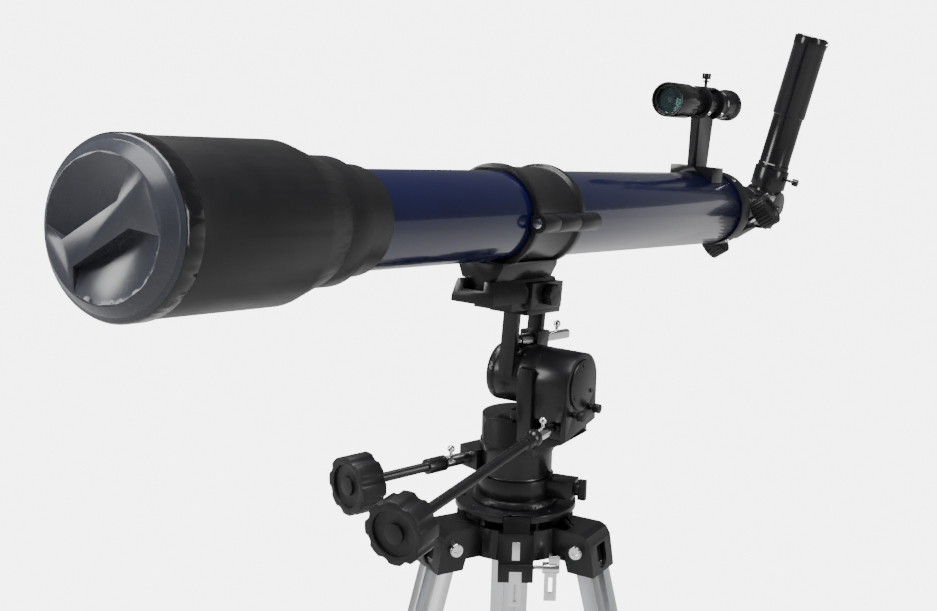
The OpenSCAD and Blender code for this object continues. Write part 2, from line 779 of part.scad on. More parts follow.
module saddle() {
    color("#1b1c1f") leaning() difference() {
        union() {
            translate([0, saddle_front + saddle_len, 0]) rotate([90, 0, 0]) linear_extrude(saddle_len) polygon([
                [-saddle_w / 2, saddle_bottom + 7], [-saddle_w / 2, saddle_bottom + 12], [-17.4, saddle_top - 4],
                [-15.6, saddle_top], [15.6, saddle_top], [17.4, saddle_top - 4], [saddle_w / 2, saddle_bottom + 18],
                [saddle_w / 2, saddle_bottom + 7]]);
            translate([-saddle_w / 2 + 2, saddle_front + 36, saddle_bottom])
                cube([saddle_w - 4, saddle_len - 36, 7 + eps]);
            translate([saddle_w / 2 - 6, saddle_front + 59, saddle_bottom + 1]) cube([10, saddle_len - 59, 23]);
        }
        translate([-10 - foot_fit, saddle_front - 1, saddle_top - 8 - foot_fit])
            cube([20 + 2 * foot_fit, saddle_len + 2, 20]);
        translate([5, -9, saddle_bottom + 14]) along_x() cylinder(r = 3 + run, h = 40);
    }
}

module saddle_knob() {
    x = saddle_w / 2 + 4;
    color("#0e0f10") leaning() translate([0, -9, saddle_bottom + 14]) {
        translate([10 + foot_fit + gap, 0, 0]) along_x() cylinder(r = 3, h = x - 8);
        translate([x + gap, 0, 0]) along_x() grip_solid(19, 8);
    }
}

// ---------- cradle ----------

module half_ring(upper, fit) {
    // A half of the cradle's shell or liner, split level with the hinge line
    r = 60;
    y0 = cradle_y - cradle_len / 2 - 1;
    leaning() translate([-r, y0, upper ? axis_h + fit : axis_h - fit - r]) cube([2 * r, cradle_len + 2, r]);
}

module cradle_shell() {
    on_axis(cradle_y - cradle_len / 2) rotate_extrude() polygon([
        [tube_d / 2 + liner_t, 0], [flange_r, 0], [flange_r, cradle_flange - 2], [band_r, cradle_flange],
        [band_r, cradle_len - cradle_flange], [flange_r, cradle_len - cradle_flange + 2],
        [flange_r, cradle_len], [tube_d / 2 + liner_t, cradle_len]]);
}

module cradle_liner() {
    on_axis(cradle_y - cradle_len / 2 + 1) tube(tube_d / 2 + liner_t, tube_d / 2 + run, cradle_len - 2);
}

module along_hinge(y) {
    leaning() translate([hinge_x, y, axis_h - 1.5]) rotate([-90, 0, 0]) children();
}

module knuckle(y0, y1) {
    along_hinge(y0) cylinder(r = hinge_boss_r, h = y1 - y0);
}

// Space that the other half's knuckles turn in
module hinge_room(y0, y1) {
    along_hinge(y0) cylinder(r = hinge_boss_r + gap, h = y1 - y0);
}

module hinge_bore() {
    along_hinge(-200) cylinder(r = pin_r + run, h = 400);
}

module tube_space() {
    on_axis(-300) cylinder(r = tube_d / 2 + liner_t, h = 600);
}

front_y = cradle_y - cradle_len / 2;
rear_y = cradle_y + cradle_len / 2;
knuckle_split = 24;

module cradle_lower() {
    color("#1b1c1f") difference() {
        union() {
            intersection() { cradle_shell(); half_ring(false, 0.3); }
            knuckle(front_y - 4, front_y + knuckle_split - gap);
            knuckle(rear_y - knuckle_split + gap, rear_y + 14);
            leaning() translate([0, rear_y, 0]) rotate([90, 0, 0]) linear_extrude(cradle_len + 12) polygon([
                [-foot_w_bottom / 2, saddle_top + gap], [-foot_w_top / 2, foot_top - 2],
                [-foot_w_top / 2, foot_top + 2], [foot_w_top / 2, foot_top + 2],
                [foot_w_top / 2, foot_top - 2], [foot_w_bottom / 2, saddle_top + gap]]);
            leaning() translate([-10, front_y - 12, saddle_top - 8]) cube([20, cradle_len + 12, 9]);
            leaning() translate([-53, cradle_y - 9, axis_h - 12]) cube([14, 18, 11.7]);
        }
        tube_space();
        hinge_bore();
        hinge_room(front_y + knuckle_split - gap, rear_y - knuckle_split + gap);
        leaning() translate([-60, cradle_y - 3.6, axis_h - 20]) cube([18.4, 7.2, 30]);
    }
    color("#2a2a2c") difference() {
        intersection() { cradle_liner(); half_ring(false, 0.3); }
        hinge_room(front_y - 5, rear_y + 5);
    }
}

module cradle_upper() {
    color("#1b1c1f") difference() {
        union() {
            intersection() { cradle_shell(); half_ring(true, 0.3); }
            knuckle(front_y + knuckle_split, rear_y - knuckle_split);
            leaning() translate([-53, cradle_y - 9, axis_h + 0.3]) cube([14, 18, 10]);
        }
        tube_space();
        hinge_bore();
        hinge_room(front_y - 5, front_y + knuckle_split);
        hinge_room(rear_y - knuckle_split, rear_y + 5);
    }
    color("#2a2a2c") difference() {
        intersection() { cradle_liner(); half_ring(true, 0.3); }
        hinge_room(front_y - 5, rear_y + 5);
    }
    color("silver") leaning() translate([-47, cradle_y, axis_h - 10]) cylinder(r = 3, h = 20);
    color("#141517") leaning() translate([-47, cradle_y, axis_h + 10.3]) grip_solid(17, 9);
}

module cradle_pins() {
    color("silver") along_hinge(front_y - 5) {
        cylinder(r = pin_r, h = cradle_len + 20);
        cylinder(r = 4, h = 0.99);
    }
}

// ---------- objective end ----------

module dust_cap() {
    rim = 4;                    // widest circle ahead of the shield's edge
    front = rim + cap_dome;
    recess_r = cap_r - 11.8;
    groove_r = cap_r - 4.5;
    dish_r = 88;
    dish_depth = 12.6;
    bar_half = 9.3;
    color("#2b2d35") on_axis(shield_front) difference() {
        rotate_extrude() polygon([
            [0, -front], [recess_r, -front], [groove_r, -front + groove_r - recess_r], [groove_r, -rim - 4],
            [cap_r - 1.2, -rim - 2.4], [cap_r, -rim], [cap_r, cap_rim_len - 1], [cap_r - 0.6, cap_rim_len],
            [shield_d / 2 + run, cap_rim_len], [shield_d / 2 + run, 0], [shield_d / 2 - 4, 0],
            [shield_d / 2 - 8, -1.4], [0, -1.4]]);
        // Two dished pockets leave a bar to grip
        for (side = [0, 1]) intersection() {
            rotate([0, 0, -34]) translate([0, 0, -front - 1]) linear_extrude(front + 1) intersection() {
                circle(r = recess_r - 0.5);
                mirror([0, side, 0]) polygon([
                    [-32, bar_half], [19, bar_half], [49.5, 33], [60, 60], [-60, 60], [-47, 40]]);
            }
            translate([0, 0, -front - dish_r + dish_depth]) sphere(r = dish_r, $fn = 160);
        }
    }
}

module dew_shield() {
    wall = 2;
    neck_r = cell_r1 - 5;
    color("#141518") on_axis(shield_front) rotate_extrude() polygon([
        [shield_d / 2 - wall, 0], [shield_d / 2, 0], [shield_d / 2, shield_len],
        [cell_r1, shield_len + taper_len], [neck_r + run, shield_len + taper_len],
        [neck_r + run, shield_len + taper_len - 6], [cell_r1 - wall + 1.4, shield_len + taper_len - 6],
        [shield_d / 2 - wall, shield_len]]);
}

module objective_cell() {
    length = cell_front_len + cell_rear_len;
    seat = cell_front_len + 2;
    neck_r = cell_r1 - 5;
    color("#16171a") on_axis(taper_end) {
        rotate_extrude() polygon([
            [lens_r + run, -6], [neck_r, -6], [neck_r, 0], [cell_r1, 0], [cell_r1, cell_front_len],
            [cell_r2, cell_front_len], [cell_r2, length], [tube_d / 2 + run, length],
            [tube_d / 2 + run, length - socket], [aperture_d / 2, length - socket], [aperture_d / 2, seat],
            [lens_r + run, seat]]);
        translate([0, 0, seat - 18]) tube(lens_r, aperture_d / 2, 4);
    }
}

// Crown and flint elements of the achromat
module objective_lens() {
    crown_t = 7;
    flint_t = 5;
    radius = 380;
    seat = cell_front_len + 2;
    color("lightblue") on_axis(taper_end) translate([0, 0, seat]) {
        intersection() {
            translate([0, 0, -flint_t - 0.2 - crown_t]) cylinder(r = lens_r, h = crown_t);
            translate([0, 0, -flint_t - 0.2 - crown_t + radius]) sphere(r = radius, $fn = 256);
            translate([0, 0, -flint_t - 0.2 - radius]) sphere(r = radius, $fn = 256);
        }
        difference() {
            translate([0, 0, -flint_t]) cylinder(r = lens_r, h = flint_t - run);
            translate([0, 0, -flint_t - radius + 1.6]) sphere(r = radius, $fn = 256);
        }
    }
}

module main_tube() {
    color("#1d1f3c") on_axis(tube_front - socket)
        tube(tube_d / 2, tube_d / 2 - tube_wall, tube_len + socket + 16);
}

module tube_baffles() {
    focal = 900;
    color("#151515") for (part = [0.25, 0.5, 0.75]) on_axis(tube_front + part * tube_len) {
        tube(tube_d / 2 - tube_wall - run, tube_d / 2 - tube_wall - 2, 6);
        tube(tube_d / 2 - tube_wall - 1, aperture_d / 2 * (1 - part * tube_len / focal) + 2, 1.2);
    }
}

// ---------- focuser ----------

// Frame at the pinion's station, its local X along the axle
module on_pinion() {
    on_axis(pinion_y, pinion_turn) children();
}

module focuser_body() {
    ring_r = tube_d / 2 + 1.4;
    cone_len = 14;
    color("#1b1c20") difference() {
        union() {
            on_axis(tube_rear) cylinder(r = ring_r, h = flange_len);
            on_axis(body_y) rotate_extrude() polygon([
                [0, -1], [ring_r - 3, -1], [ring_r - 3, 2], [focuser_r + 3, cone_len], [focuser_r, cone_len],
                [focuser_r, focuser_end - body_y], [0, focuser_end - body_y]]);
            on_pinion() translate([-13, 8, -12]) cube([26, pinion_r, 24]);
        }
        on_axis(tube_rear - 1) cylinder(r = tube_d / 2 + run, h = 17);
        on_axis(tube_rear) cylinder(r = tube_d / 2 - 6, h = 20);
        on_axis(tube_rear) cylinder(r = draw_d / 2 + run, h = 200);
        on_pinion() translate([-20, pinion_r, 0]) along_x() cylinder(r = axle_r + run, h = 40);
        on_pinion() translate([-8.4, pinion_r, 0]) along_x() cylinder(r = 4.9, h = 16.8);
    }
    color("silver") for (turn = [-70, 35, 145, 250])
        on_axis(tube_rear + 8, turn) translate([0, -ring_r - 1.5, 0]) rotate([-90, 0, 0])
            cylinder(r = 2.2, h = 2);
}

module drawtube() {
    start = tube_rear + 2.5;
    rack_w = 8;
    tooth = 2.4;
    color("#cfd2d6") difference() {
        union() {
            on_axis(start) tube(draw_d / 2, draw_d / 2 - 2, draw_end - start - 6);
            on_axis(draw_end - 14) tube(collar_r, draw_d / 2 - 3, 14);
            on_axis(draw_end - 14) tube(draw_d / 2, barrel_d / 2 + run, 14);
        }
        on_axis(start, pinion_turn) for (z = [4 : tooth : focuser_end - start + 10])
            translate([-rack_w / 2, draw_d / 2 - 1.1, z]) cube([rack_w, 3, tooth / 2]);
    }
    color("silver") on_axis(draw_end - 7, 60) translate([0, -collar_r - 9, 0]) rotate([-90, 0, 0]) {
        cylinder(r = 3.4, h = 4);
        cylinder(r = 1.5, h = 10);
    }
}

module focus_pinion() {
    knob_l = 17;
    knob_x = 25.5;
    color("silver") on_pinion() translate([0, pinion_r, 0]) {
        translate([-knob_x - 2, 0, 0]) along_x() cylinder(r = axle_r, h = 2 * knob_x + 4);
        translate([-7.9, 0, 0]) along_x() toothed_wheel(pinion_r - draw_d / 2 - 0.1, 15.8, 10, 0.9);
    }
    color("#141518") on_pinion() translate([0, pinion_r, 0]) for (s = [-1, 1])
        rotate([0, s * 90, 0]) translate([0, 0, knob_x]) difference() {
            cylinder(d = focus_knob_d, h = knob_l);
            for (i = [0 : 23]) rotate([0, 0, i * 15]) translate([focus_knob_d / 2, 0, -1])
                cylinder(r = 0.9, h = knob_l + 2);
            translate([0, 0, knob_l - 3]) cylinder(d = focus_knob_d * 0.7, h = 4);
            translate([0, 0, -1]) cylinder(r = axle_r, h = 3);
        }
}

// Frame at the diagonal's centre: Z rearward, -Y towards the eyepiece
module on_diagonal() {
    on_axis(diag_c, diagonal_turn) children();
}

// Turns +Z towards the eyepiece
module eyepiece_way() {
    on_diagonal() rotate([90, 0, 0]) children();
}

module diagonal() {
    side = 19;
    bore = 13.6;
    insert = 16;
    color("#141518") difference() {
        union() {
            on_diagonal() translate([-side, 0, 0]) along_x() cylinder(r = diag_r, h = 2 * side);
            on_diagonal() translate([side - eps, 0, 0]) along_x() cylinder(r = 6, h = 3);
            on_diagonal() translate([0, 0, -diag_r - 1]) cylinder(r = side, h = diag_r);
            eyepiece_way() cylinder(r = side - 1, h = 30);
            eyepiece_way() translate([0, 0, 24]) cylinder(r = 19.8, h = shoulder - 24);
        }
        on_diagonal() translate([0, 0, -diag_r - 2]) cylinder(r = bore, h = diag_r + 2);
        eyepiece_way() cylinder(r = bore, h = 60);
        eyepiece_way() translate([0, 0, shoulder - 29]) cylinder(r = barrel_d / 2 + run, h = 40);
        on_diagonal() rotate([-45, 0, 0]) translate([0, 0, 0]) cylinder(r = 17.4, h = 40);
        on_diagonal() rotate([-45, 0, 0]) translate([-30, -30, 16]) cube([60, 60, 30]);
    }
    color("#1b1c20") on_diagonal() rotate([-45, 0, 0]) {
        translate([0, 0, 16 + eps]) cylinder(r = 18.4, h = 2);
        translate([0, 0, 4.1]) cylinder(r = 12, h = 12);
    }
    color("silver") on_axis(draw_end - insert) tube(barrel_d / 2, barrel_d / 2 - 1.6, insert + nose_len + 2);
    color("#141518") eyepiece_way() translate([side, 0, shoulder - 8]) along_x() {
        cylinder(r = 1.6, h = 14);
        translate([0, 0, 9]) cylinder(r = 4.2, h = 6);
    }
}

module diagonal_mirror() {
    color("white") on_diagonal() rotate([-45, 0, 0]) cylinder(r = 17.3, h = 4);
}

module erector() {
    insert = 26;
    top = erector_len;
    lower_r = erector_d / 2 - 1.5;
    upper_r = erector_d / 2;
    color("#101113") eyepiece_way() translate([0, 0, shoulder]) rotate_extrude() polygon([
        [barrel_d / 2 - 1.6, -insert], [barrel_d / 2, -insert], [barrel_d / 2, 0], [lower_r + 0.8, 0],
        [lower_r + 0.8, 5], [lower_r, 6], [lower_r, top * 0.4], [upper_r, top * 0.4 + 1], [upper_r, top - 11],
        [upper_r + 0.6, top - 11], [upper_r + 0.6, top - 1], [upper_r - 1.4, top - 1], [upper_r - 1.4, top],
        [9, top], [9, top - 3], [14, top - 8], [barrel_d / 2 - 1.6, top - 12]]);
    color("silver") eyepiece_way() translate([upper_r - 0.4, 0, shoulder + top - 6]) along_x()
        cylinder(r = 2.2, h = 2.4);
}

// Relay and eye lenses inside the erecting eyepiece
module erector_lenses() {
    color("lightblue") for (part = [0.1, 0.34, 0.62, 0.9]) eyepiece_way() intersection() {
        translate([0, 0, shoulder + part * erector_len]) cylinder(r = barrel_d / 2 - 1.65, h = 5);
        translate([0, 0, shoulder + part * erector_len + 5 - 60]) sphere(r = 60, $fn = 300);
        translate([0, 0, shoulder + part * erector_len + 60]) sphere(r = 60, $fn = 300);
    }
}

// ---------- finder ----------

module finder_bracket() {
    clamp_r = finder_r + 4.4;
    post_low = 14.5;
    post_high = 10.5;
    color("#18191c") difference() {
        union() {
            leaning() translate([-shoe_w / 2, finder_y - shoe_len / 2, axis_h + tube_d / 2 - 10])
                cube([shoe_w, shoe_len, shoe_h + 10]);
            leaning() translate([-post_t / 2, 0, axis_h]) rotate([90, 0, 90]) linear_extrude(post_t) polygon([
                [finder_y - post_low, tube_d / 2 + shoe_h - 1], [finder_y + post_low, tube_d / 2 + shoe_h - 1],
                [finder_y + post_high + 8, finder_h - 12], [finder_y - post_high - 8, finder_h - 12]]);
            for (s = [-1, 1]) on_finder(finder_y + s * ring_span / 2 - ring_t / 2)
                cylinder(r = clamp_r, h = ring_t);
            on_finder(finder_y - ring_span / 2) translate([-5, clamp_r - 4, 0]) cube([10, 4, ring_span]);
            on_finder(finder_y - ring_span / 2) translate([-5, -clamp_r, 0]) cube([10, 3, ring_span]);
        }
        on_finder(finder_y - 60) cylinder(r = finder_r + run, h = 120);
        on_axis(finder_y - 60) cylinder(r = tube_d / 2 + run, h = 120);
    }
    color("#141518") on_finder(finder_y) translate([0, -clamp_r, 0]) rotate([90, 0, 0]) {
        translate([0, 0, -1]) cylinder(r = 1.6, h = 10);
        translate([0, 0, 5]) cylinder(r = 3.4, h = 1.6);
        translate([0, 0, 8]) cylinder(r = 4.6, h = 6);
    }
}

// Puts the children's +Z on the finder's axis, rearward, starting at station y
module on_finder(y) {
    leaning() translate([0, y, axis_h + finder_h]) rotate([-90, 0, 0]) children();
}

module finder_tube() {
    bell_r = bell_d / 2;
    wall = 1.6;
    cup = finder_len - eyecup_len;
    color("#15161c") on_finder(finder_front) rotate_extrude() polygon([
        [bell_r - wall, 0], [bell_r, 0], [bell_r, bell_len], [finder_r, bell_len + 14],
        [finder_r, cup], [bell_r - 3, cup + 2], [bell_r - 2.6, finder_len - 12], [bell_r - 0.8, finder_len - 9],
        [bell_r - 0.8, finder_len], [9, finder_len], [9, finder_len - 6], [finder_r - wall, finder_len - 10],
        [finder_r - wall, bell_len + 14], [bell_r - wall, bell_len]]);
}

module finder_lenses() {
    color("lightblue") {
        on_finder(finder_front + 6) intersection() {
            cylinder(r = bell_d / 2 - 1.65, h = 4);
            translate([0, 0, 160]) sphere(r = 160, $fn = 300);
            translate([0, 0, 4 - 160]) sphere(r = 160, $fn = 300);
        }
        on_finder(finder_front + finder_len - 24) cylinder(r = finder_r - 1.65, h = 5);
    }
}

// ---------- every sub-part ----------

tripod_hub();
hub_plate();
base_ring();
azimuth_wheel();
front_bracket();
clamp_strips();
hub_bolts();
brake_block();
brake_knob();
leg_head(LEFT);  // leg_head_left
leg_head(RIGHT);  // leg_head_right
leg_head(BACK);  // leg_head_back
leg_rails(LEFT);  // leg_rails_left
leg_rails(RIGHT);  // leg_rails_right
leg_rails(BACK);  // leg_rails_back
leg_slide(LEFT);  // leg_slide_left
leg_slide(RIGHT);  // leg_slide_right
leg_slide(BACK);  // leg_slide_back
leg_lock(LEFT);  // leg_lock_left
leg_lock(RIGHT);  // leg_lock_right
leg_lock(BACK);  // leg_lock_back
brace(LEFT);  // brace_left
brace(RIGHT);  // brace_right
brace(BACK);  // brace_back
tray();
pier();
altitude_case();
case_cover();
cover_screws();
azimuth_worm();
short_rod();
short_knob();
altitude_worm();
long_rod();
long_knob();
altitude_shaft();
fork();
fork_cap();
fork_worm();
saddle();
saddle_knob();
cradle_lower();
cradle_upper();
cradle_pins();
dust_cap();
dew_shield();
objective_cell();
objective_lens();
main_tube();
tube_baffles();
focuser_body();
drawtube();
focus_pinion();
diagonal();
diagonal_mirror();
erector();
erector_lenses();
finder_bracket();
finder_tube();
finder_lenses();
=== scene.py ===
# %% [markdown]
# # A beginner's refracting telescope on its tripod
# The frame below is the working model: every tube, gear and hinge already has its true size and
# place, in metres. This lesson gives those pieces their finish: rounded edges, paint, castings,
# chrome and glass, and the small screws and rims that make a real telescope look real.
# %% Load the working model
import json
import math

import bmesh
import bpy
from mathutils import Matrix, Vector


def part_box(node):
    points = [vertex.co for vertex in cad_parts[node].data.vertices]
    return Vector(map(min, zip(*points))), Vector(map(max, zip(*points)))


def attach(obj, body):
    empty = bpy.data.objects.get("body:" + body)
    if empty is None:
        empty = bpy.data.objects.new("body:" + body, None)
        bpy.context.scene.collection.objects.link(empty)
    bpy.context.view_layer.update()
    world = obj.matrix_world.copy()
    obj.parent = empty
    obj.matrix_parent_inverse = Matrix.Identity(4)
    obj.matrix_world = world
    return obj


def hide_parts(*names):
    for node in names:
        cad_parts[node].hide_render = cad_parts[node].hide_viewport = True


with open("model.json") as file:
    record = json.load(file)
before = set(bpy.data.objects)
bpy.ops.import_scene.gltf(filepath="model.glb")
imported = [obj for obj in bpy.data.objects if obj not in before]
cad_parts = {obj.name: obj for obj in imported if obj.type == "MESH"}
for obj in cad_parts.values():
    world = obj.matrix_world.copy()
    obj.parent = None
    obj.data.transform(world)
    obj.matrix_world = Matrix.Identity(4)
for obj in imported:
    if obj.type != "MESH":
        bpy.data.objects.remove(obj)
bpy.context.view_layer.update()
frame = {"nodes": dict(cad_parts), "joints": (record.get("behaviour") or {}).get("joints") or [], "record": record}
nodes = frame["nodes"]
MM = 0.001

# %% [markdown]
# ## Where things are
# The telescope leans on its altitude axis. Working out that axis from the frame, and the two
# directions that lean with the tube, lets later cells say "so far back along the tube" and
# "so far above its middle" instead of guessing coordinates.
# %% The leaning frame of the tube
joints = {joint["name"]: joint for joint in frame["joints"]}
pivot = Vector(joints["altitude"]["pos_m"])
across = Vector((1, 0, 0))
rearward = Vector(joints["tube_slide"]["axis"]).normalized()
upward = across.cross(rearward)
optical = Vector(joints["diagonal_turn"]["pos_m"])     # a point on the optical axis


def on_tube(x, back, up):
    """A point given across, along the tube from the altitude axis, and above the optical axis."""
    start = optical - rearward * (optical - pivot).dot(rearward)
    return start + across * x + rearward * back + upward * up


print("altitude axis at", [round(v, 3) for v in pivot])

# %% [markdown]
# ## The camera
# A product shot from a little above, to the right of the tube's mouth. A camera looks along its
# own -Z, so its matrix is built from three directions: right, up and back. The lens is a short
# telephoto, which keeps the tube from stretching towards the viewer.
# %% Camera
SENSOR_MM = 36
LENS_MM = 64.43
TURN, DIP, ROLL = math.radians(30.88), math.radians(13.84), math.radians(1.32)
forward = Vector((-math.sin(TURN) * math.cos(DIP), math.cos(TURN) * math.cos(DIP), -math.sin(DIP)))
level_right = forward.cross(Vector((0, 0, 1))).normalized()
level_up = level_right.cross(forward)
right = level_right * math.cos(ROLL) + level_up * math.sin(ROLL)
up = level_up * math.cos(ROLL) - level_right * math.sin(ROLL)
lens = bpy.data.cameras.new("camera")
lens.sensor_width = SENSOR_MM
lens.lens = LENS_MM
lens.clip_end = 100
camera = bpy.data.objects.new("camera", lens)
camera.matrix_world = Matrix.Translation((0.6950, -1.2525, pivot.z + 0.41321)) @ Matrix(
    (right, up, -forward)).transposed().to_4x4()
bpy.context.scene.collection.objects.link(camera)
bpy.context.scene.camera = camera
print("camera at", [round(v, 3) for v in camera.location])

# %% [markdown]
# ## Floor and light
# Black gloss shows almost nothing of its own: what is seen is the reflection of the lamps. So the
# studio has a long soft box over the tube, one from the left for the cap and the knobs, one from
# the right, and a high skylight that turns the pale floor into a lamp for the undersides. The
# walls look white but reflect little, so the blacks stay deep. The floor's paper glows for the
# camera only, for the same reason; its material comes with the others further down.
# %% Floor, world and soft boxes
bpy.ops.object.select_all(action="DESELECT")
bpy.ops.mesh.primitive_plane_add(size=60, location=(0, 0, -0.0005))
floor = bpy.context.object
floor.name = "floor"
world = bpy.data.worlds.new("studio")
world.use_nodes = True
WALLS_SEEN, WALLS_REFLECTED = 6.0, 0.16
room = world.node_tree
seen_directly = room.nodes.new("ShaderNodeLightPath").outputs["Is Camera Ray"]
brightness = room.nodes.new("ShaderNodeMapRange")
brightness.inputs["To Min"].default_value = WALLS_REFLECTED
brightness.inputs["To Max"].default_value = WALLS_SEEN
room.links.new(seen_directly, brightness.inputs["Value"])
room.links.new(brightness.outputs["Result"], room.nodes["Background"].inputs["Strength"])
room.nodes["Background"].inputs["Color"].default_value = (1.0, 1.0, 1.0, 1)
bpy.context.scene.world = world


def soft_box(name, place, target, width, height, watts):
    light = bpy.data.lights.new(name, "AREA")
    light.shape = "RECTANGLE"
    light.size, light.size_y = width, height
    light.energy = watts
    box = bpy.data.objects.new(name, light)
    place, target = Vector(place), Vector(target)
    turn = (place - target).to_track_quat("Z", "Y")
    box.matrix_world = Matrix.Translation(place) @ turn.to_matrix().to_4x4()
    bpy.context.scene.collection.objects.link(box)


soft_box("overhead_box", (-0.3, 0.1, 2.7), (0, 0, 0.9), 0.5, 2.6, 60)
soft_box("left_box", (-2.0, -2.0, 1.9), (0, -0.3, 0.9), 0.9, 1.4, 55)
soft_box("right_box", (2.4, -0.2, 1.5), (0, 0, 0.8), 0.5, 1.6, 30)
skylight = bpy.data.lights.new("skylight", "SUN")
skylight.energy = 4.0
skylight.angle = math.radians(50)
sky = bpy.data.objects.new("skylight", skylight)
sky.matrix_world = Matrix.Rotation(math.radians(12), 4, "X")
bpy.context.scene.collection.objects.link(sky)

# %% [markdown]
# ## Shader arithmetic as Python
# Materials here are formulas. A small wrapper turns a socket of the node tree into something
# that can be added, multiplied and compared in Python; each operation adds one Math node.
# Every other kind of node comes from one method that takes its settings and its inputs.
# %% A wrapper for sockets
class Signal:
    def __init__(self, tree, socket):
        self.tree, self.socket = tree, socket

    def _math(self, operation, *values):
        node = self.tree.nodes.new("ShaderNodeMath")
        node.operation = operation
        for slot, value in zip(node.inputs, values):
            if isinstance(value, Signal):
                self.tree.links.new(value.socket, slot)
            else:
                slot.default_value = value
        return Signal(self.tree, node.outputs[0])

    def __add__(self, other):
        return self._math("ADD", self, other)

    def __radd__(self, other):
        return self._math("ADD", other, self)

    def __sub__(self, other):
        return self._math("SUBTRACT", self, other)

    def __rsub__(self, other):
        return self._math("SUBTRACT", other, self)

    def __mul__(self, other):
        return self._math("MULTIPLY", self, other)

    def __rmul__(self, other):
        return self._math("MULTIPLY", other, self)

    def __gt__(self, other):
        return self._math("GREATER_THAN", self, other)

    def clamp(self, low=0.0, high=1.0):
        return self._math("MINIMUM", self._math("MAXIMUM", self, low), high)


class Recipe:
    """A material being written: its Principled shader, and the nodes that feed it."""

    def __init__(self, name):
        self.material = bpy.data.materials.new(name)
        self.material.use_nodes = True
        self.tree = self.material.node_tree
        self.shader = self.tree.nodes["Principled BSDF"]

    def node(self, kind, settings=None, inputs=None, output=0):
        made = self.tree.nodes.new("ShaderNode" + kind)
        for name, value in (settings or {}).items():
            setattr(made, name, value)
        for name, value in (inputs or {}).items():
            slot = made.inputs[name]
            if isinstance(value, Signal):
                self.tree.links.new(value.socket, slot)
            else:
                slot.default_value = value
        return Signal(self.tree, made.outputs[output])

    def place(self, stretch=(1, 1, 1)):
        """Object coordinates in millimetres, stretched to lay a pattern along one direction."""
        where = self.node("TexCoord", output="Object")
        return self.node("Mapping", {}, {"Vector": where, "Scale": [s * 1000 for s in stretch]})

    def noise(self, size_mm, detail=3.0, stretch=(1, 1, 1), rough=0.5):
        settings = {"Vector": self.place(stretch), "Scale": 1 / size_mm, "Detail": detail, "Roughness": rough}
        return self.node("TexNoise", {}, settings, output="Fac")

    def cells(self, size_mm):
        return self.node("TexVoronoi", {}, {"Vector": self.place(), "Scale": 1 / size_mm}, output="Distance")

    def blend(self, part, low, high):
        """Mixes two colours by a signal."""
        def full(colour):
            return colour if isinstance(colour, Signal) else (*colour, 1)
        mix = self.tree.nodes.new("ShaderNodeMix")
        mix.data_type = "RGBA"
        for slot, value in ((0, part), (6, full(low)), (7, full(high))):
            if isinstance(value, Signal):
                self.tree.links.new(value.socket, mix.inputs[slot])
            else:
                mix.inputs[slot].default_value = value
        return Signal(self.tree, mix.outputs[2])

    def bump(self, height, depth_mm):
        return self.node("Bump", {}, {"Height": height, "Distance": depth_mm * MM, "Strength": 1.0})

    def set(self, **inputs):
        for name, value in inputs.items():
            slot = self.shader.inputs[name.replace("_", " ")]
            if isinstance(value, Signal):
                self.tree.links.new(value.socket, slot)
            else:
                slot.default_value = (*value, 1) if isinstance(value, tuple) and len(value) == 3 else value
        return self.material


print("shader helpers ready")

# %% [markdown]
# ## Paints and plastics
# Gloss enamel is a coloured coat under a clear one; its skin has a faint orange peel and a little
# dust. A die casting keeps a grainy skin under its paint, with an uneven gloss and specks of
# dust. Moulded plastic is duller, with a fine spark-eroded grain.
# %% Deep blue enamel
def blue_enamel():
    r = Recipe("blue_enamel")
    cloud = r.noise(60, 2)
    dust = (r.noise(0.5, 2) > 0.73) * 0.25
    peel = r.noise(2.4, 2)
    colour = r.blend(cloud, (0.0025, 0.003, 0.024), (0.004, 0.005, 0.034))
    colour = r.blend(dust, colour, (0.05, 0.06, 0.12))
    return r.set(Base_Color=colour, Roughness=0.16 + 0.08 * r.noise(14, 3) + 0.15 * dust,
                 Coat_Weight=0.6, Coat_Roughness=0.05, Normal=r.bump(peel, 0.012))


def painted(name, dark, light, rough, grain_mm, depth_mm, coat=0.0, wear=0.0, sheen=0.3):
    """Black paint on metal: a grainy skin, uneven gloss and specks of dust."""
    r = Recipe(name)
    grain = r.noise(grain_mm, 4)
    patch = r.noise(22, 3)
    colour = r.blend(patch, dark, light)
    gloss = rough + 0.12 * (patch - 0.5) + 0.06 * (grain - 0.5)
    specks = (r.noise(0.7, 2) > 0.74) * wear
    colour = r.blend(specks, colour, (0.05, 0.05, 0.052))
    gloss = gloss + 0.2 * specks
    return r.set(Base_Color=colour, Roughness=gloss.clamp(0.05, 1.0), Coat_Weight=coat, Coat_Roughness=0.12,
                 Specular_IOR_Level=sheen, Normal=r.bump(grain, depth_mm))


def plastic(name, dark, light, rough, grain_mm, depth_mm, sheen=0.3):
    """Moulded plastic: cells of spark erosion, faint flow lines, finger marks in the gloss."""
    r = Recipe(name)
    grain = r.cells(grain_mm)
    flow = r.noise(9, 2, stretch=(1, 1, 0.25))
    marks = r.noise(16, 4)
    gloss = rough + 0.16 * (marks - 0.5)
    return r.set(Base_Color=r.blend(flow, dark, light), Roughness=gloss.clamp(0.05, 1.0),
                 Specular_IOR_Level=sheen, Normal=r.bump(grain + 0.5 * flow, depth_mm))


